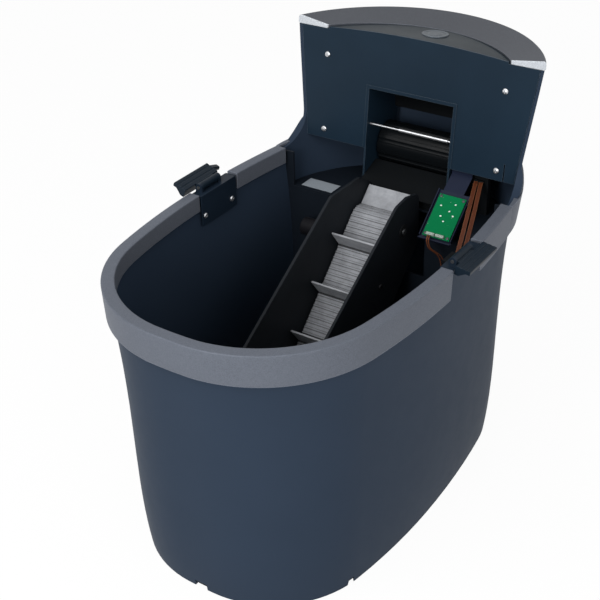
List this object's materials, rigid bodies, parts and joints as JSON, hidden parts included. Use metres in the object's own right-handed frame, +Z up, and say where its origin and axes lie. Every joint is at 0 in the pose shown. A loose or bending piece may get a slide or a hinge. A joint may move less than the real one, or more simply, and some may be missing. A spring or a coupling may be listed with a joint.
{
  "type": "automatic gaming chip hopper and lift",
  "caption": "Open oval hopper tub with an inclined cleated lift feeding a throat in a rounded rear tower, with side latches.",
  "frame": {"origin": "on the floor plane below the widest point of the tub, on its mirror plane; centre of the base plate underside datum", "axes": "+X to the right, +Y to the rear tower, +Z up"},
  "size_m": [0.4653, 0.7177, 0.605],
  "materials": {
    "body": "satin",
    "rim": "metallic paint",
    "floor": "satin",
    "deck": "gloss",
    "black_plastic": "matte",
    "cheek": "satin",
    "belt": "matte",
    "drum": "satin",
    "silver": "brushed",
    "label": "satin",
    "black_steel": "black oxide",
    "bush": "satin",
    "motor": "satin",
    "board": "satin",
    "connector": "gloss",
    "cable": "satin",
    "latch": "satin",
    "rocker": "gloss"
  },
  "bodies": {
    "housing": {"base_plate": "black_plastic", "belt_gearmotor": "motor", "blank_badge": "deck", "blank_label": "label", "board_chips": "black_plastic", "board_connectors": "connector", "board_screws": "silver", "board_tray": "black_plastic", "board_wires": "cable", "body_shell": "body", "cap_end_trims": "silver", "chassis_shelf": "floor", "cheek_spacers": "silver", "cleated_belt": "belt", "drum_bushes": "bush", "drum_motor": "motor", "elevator_cheek_left": "cheek", "elevator_cheek_right": "cheek", "front_panel": "body", "hopper_floor": "floor", "latch_bracket_left": "body", "latch_bracket_right": "body", "latch_pins": "silver", "latch_screws": "silver", "latch_switch": "black_plastic", "motor_bracket": "silver", "panel_screws": "silver", "power_inlet": "black_plastic", "rear_bulkhead": "floor", "ribbon_cables": "cable", "ribbon_sockets": "connector", "rim_front": "rim", "rim_left": "rim", "rim_rear": "rim", "rim_right": "rim", "sensor_board": "board", "service_plate": "black_plastic", "shaft_bushes": "bush", "slider_bed": "silver", "spacer_screws": "black_steel", "throat_frame": "body", "throat_guide": "black_plastic", "throat_hood": "black_plastic", "throat_rod": "silver", "tower_cap": "rim", "tower_deck": "deck", "wire_grommet": "black_plastic"},
    "belt_head": {"head_roller": "black_plastic", "head_shaft": "silver", "drive_gear": "bush"},
    "belt_tail": {"tail_roller": "black_plastic", "tail_shaft": "silver"},
    "belt_pinion": {"motor_pinion": "bush", "motor_shaft": "silver"},
    "feed_drum": {"feed_drum": "drum", "drum_shaft": "silver"},
    "latch_left": {"latch_lever_left": "latch"},
    "latch_right": {"latch_lever_right": "latch"},
    "rocker": {"switch_rocker": "rocker"}
  },
  "joints": [
    {"name": "head_spin", "type": "hinge", "parent": "housing", "child": "belt_head", "pos_m": [0, 0.1653, 0.3482], "axis": [-1, 0, 0], "continuous": true},
    {"name": "tail_spin", "type": "hinge", "parent": "housing", "child": "belt_tail", "pos_m": [0, -0.08989, 0.10142], "axis": [-1, 0, 0], "continuous": true},
    {"name": "motor_spin", "type": "hinge", "parent": "housing", "child": "belt_pinion", "pos_m": [0, 0.1653, 0.3107], "axis": [-1, 0, 0], "continuous": true},
    {"name": "drum_spin", "type": "hinge", "parent": "housing", "child": "feed_drum", "pos_m": [0, 0.304, 0.4165], "axis": [-1, 0, 0], "continuous": true},
    {"name": "left_latch_swing", "type": "hinge", "parent": "housing", "child": "latch_left", "pos_m": [-0.204, 0.027, 0.4245], "axis": [0, 1, 0], "range_deg": [-15, 75]},
    {"name": "right_latch_swing", "type": "hinge", "parent": "housing", "child": "latch_right", "pos_m": [0.204, 0.027, 0.4245], "axis": [0, -1, 0], "range_deg": [0, 100]},
    {"name": "rocker_tilt", "type": "hinge", "parent": "housing", "child": "rocker", "pos_m": [0.02, 0.34687, 0.066], "axis": [1, 0, 0], "range_deg": [-8, 8]}
  ],
  "couplings": [
    {"joint": "tail_spin", "follows": "head_spin", "ratio": 1},
    {"joint": "motor_spin", "follows": "head_spin", "ratio": -2.5714}
  ]
}
